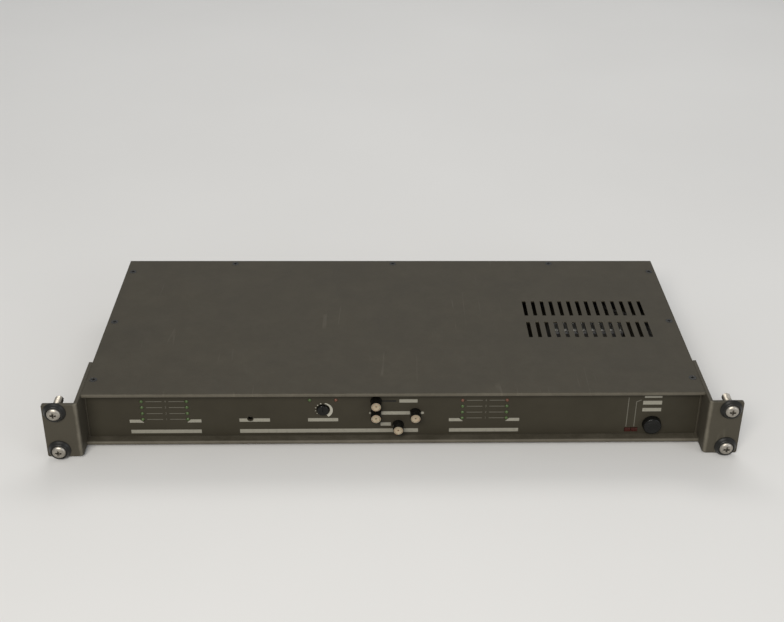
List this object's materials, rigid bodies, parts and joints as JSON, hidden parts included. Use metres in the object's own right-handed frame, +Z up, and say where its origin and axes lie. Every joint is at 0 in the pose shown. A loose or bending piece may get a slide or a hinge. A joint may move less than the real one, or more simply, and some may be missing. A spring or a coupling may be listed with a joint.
{
  "type": "rack effects unit",
  "caption": "One-unit rack signal processor: slotted ears stand ahead of hemmed lips and a recessed panel with lamp meters, push buttons and a knob; sockets and power inlet behind.",
  "frame": {"origin": "centre of the four rack screws, on the back faces of the ears", "axes": "+X to the right seen from the front, +Y into the rack, +Z up"},
  "size_m": [0.4826, 0.2164, 0.0474],
  "materials": {
    "case_paint": "warm grey fine-textured powder coat",
    "panel_paint": "warm grey satin paint with pale printed bars and lines",
    "ear_paint": "warm grey fine-textured powder coat",
    "zinc_screws": "bright zinc plate",
    "black_screws": "black oxide",
    "nickel_screws": "worn nickel plate",
    "black_washers": "satin black",
    "brass_pillars": "plain brass",
    "circuit_board": "green solder mask",
    "green_lens": "unlit diffused green",
    "red_lens": "unlit diffused red",
    "dark_red_lens": "unlit dark red",
    "black_moulding": "moulded black",
    "blue_moulding": "moulded blue",
    "black_button": "satin black",
    "cream_plastic": "satin cream",
    "capacitor_sleeve": "shrink sleeve",
    "bare_aluminium": "extruded",
    "grey_cable": "flat ribbon",
    "laminations": "varnished stack",
    "coil_tape": "yellow tape",
    "zinc_plate": "zinc plate",
    "wire_sleeve": "brown insulation",
    "socket_shell": "nickel-plated die casting",
    "plated_contacts": "tin plate",
    "fuse_glass": "clear",
    "latch_metal": "black enamel"
  },
  "bodies": {
    "case": {"button_switch_bodies": "black_moulding", "case_screws": "black_screws", "chassis_tray": "case_paint", "connector_screws": "black_screws", "cup_washers": "black_washers", "ear_nuts": "zinc_screws", "ear_screws": "zinc_screws", "filter_capacitors": "capacitor_sleeve", "front_board": "circuit_board", "front_panel": "panel_paint", "fuse_holder": "black_moulding", "ground_post": "zinc_screws", "ground_switch_body": "zinc_plate", "heat_sink": "bare_aluminium", "inlet_blades": "plated_contacts", "inner_screws": "zinc_screws", "input_lamps": "green_lens", "input_socket_inserts": "black_moulding", "input_sockets": "socket_shell", "left_rack_ear": "ear_paint", "level_pot_body": "black_moulding", "main_board": "circuit_board", "mains_inlet": "black_moulding", "mains_wires": "wire_sleeve", "op_amp_chips": "black_moulding", "output_lamps": "green_lens", "output_sockets": "socket_shell", "power_switch_body": "black_moulding", "rack_screws": "nickel_screws", "rear_panel": "case_paint", "red_lamps": "red_lens", "ribbon_cable": "grey_cable", "ribbon_headers": "black_moulding", "right_rack_ear": "ear_paint", "socket_contacts": "plated_contacts", "standoffs": "brass_pillars", "status_lamps": "dark_red_lens", "top_cover": "case_paint", "transformer_core": "laminations", "transformer_frame": "zinc_plate", "transformer_winding": "coil_tape", "trim_pot_body": "blue_moulding", "voltage_regulators": "black_moulding"},
    "button_1": {"button_barrel_1": "black_button", "button_face_1": "cream_plastic"},
    "button_2": {"button_barrel_2": "black_button", "button_face_2": "cream_plastic"},
    "button_3": {"button_barrel_3": "black_button", "button_face_3": "cream_plastic"},
    "button_4": {"button_barrel_4": "black_button", "button_face_4": "cream_plastic"},
    "power_button_body": {"power_button": "black_button"},
    "level_knob_body": {"level_knob": "black_button"},
    "trim_rotor_body": {"trim_rotor": "cream_plastic"},
    "input_latch_body_1": {"input_latch_1": "latch_metal"},
    "input_latch_body_2": {"input_latch_2": "latch_metal"},
    "ground_slider_body": {"ground_switch_slider": "black_button"},
    "fuse_cap_body": {"fuse_cap": "black_button", "mains_fuse": "fuse_glass"}
  },
  "joints": [
    {"name": "button_1_press", "type": "slide", "parent": "case", "child": "button_1", "axis": [0, 1, 0], "range_m": [0, 0.003], "stiffness_N_per_m": 300, "springref_m": -0.002},
    {"name": "button_2_press", "type": "slide", "parent": "case", "child": "button_2", "axis": [0, 1, 0], "range_m": [0, 0.003], "stiffness_N_per_m": 300, "springref_m": -0.002},
    {"name": "button_3_press", "type": "slide", "parent": "case", "child": "button_3", "axis": [0, 1, 0], "range_m": [0, 0.003], "stiffness_N_per_m": 300, "springref_m": -0.002},
    {"name": "button_4_press", "type": "slide", "parent": "case", "child": "button_4", "axis": [0, 1, 0], "range_m": [0, 0.003], "stiffness_N_per_m": 300, "springref_m": -0.002},
    {"name": "power_button_press", "type": "slide", "parent": "case", "child": "power_button_body", "axis": [0, 1, 0], "range_m": [0, 0.003], "stiffness_N_per_m": 800, "springref_m": -0.002},
    {"name": "level_knob_turn", "type": "hinge", "parent": "case", "child": "level_knob_body", "pos_m": [-0.0512, 0.0145, 0.0032], "axis": [0, 1, 0], "range_deg": [-150, 150]},
    {"name": "trim_rotor_turn", "type": "hinge", "parent": "case", "child": "trim_rotor_body", "pos_m": [-0.1025, 0.0205, -0.0042], "axis": [0, 1, 0], "range_deg": [-135, 135]},
    {"name": "input_latch_1_press", "type": "slide", "parent": "case", "child": "input_latch_body_1", "axis": [0, 0, -1], "range_m": [0, 0.0015], "stiffness_N_per_m": 500, "springref_m": -0.001},
    {"name": "input_latch_2_press", "type": "slide", "parent": "case", "child": "input_latch_body_2", "axis": [0, 0, -1], "range_m": [0, 0.0015], "stiffness_N_per_m": 500, "springref_m": -0.001},
    {"name": "ground_slider_slide", "type": "slide", "parent": "case", "child": "ground_slider_body", "axis": [1, 0, 0], "range_m": [0, 0.004]},
    {"name": "fuse_cap_turn", "type": "hinge", "parent": "case", "child": "fuse_cap_body", "pos_m": [0.125, 0.1995, 0], "axis": [0, 1, 0], "range_deg": [0, 90]}
  ]
}
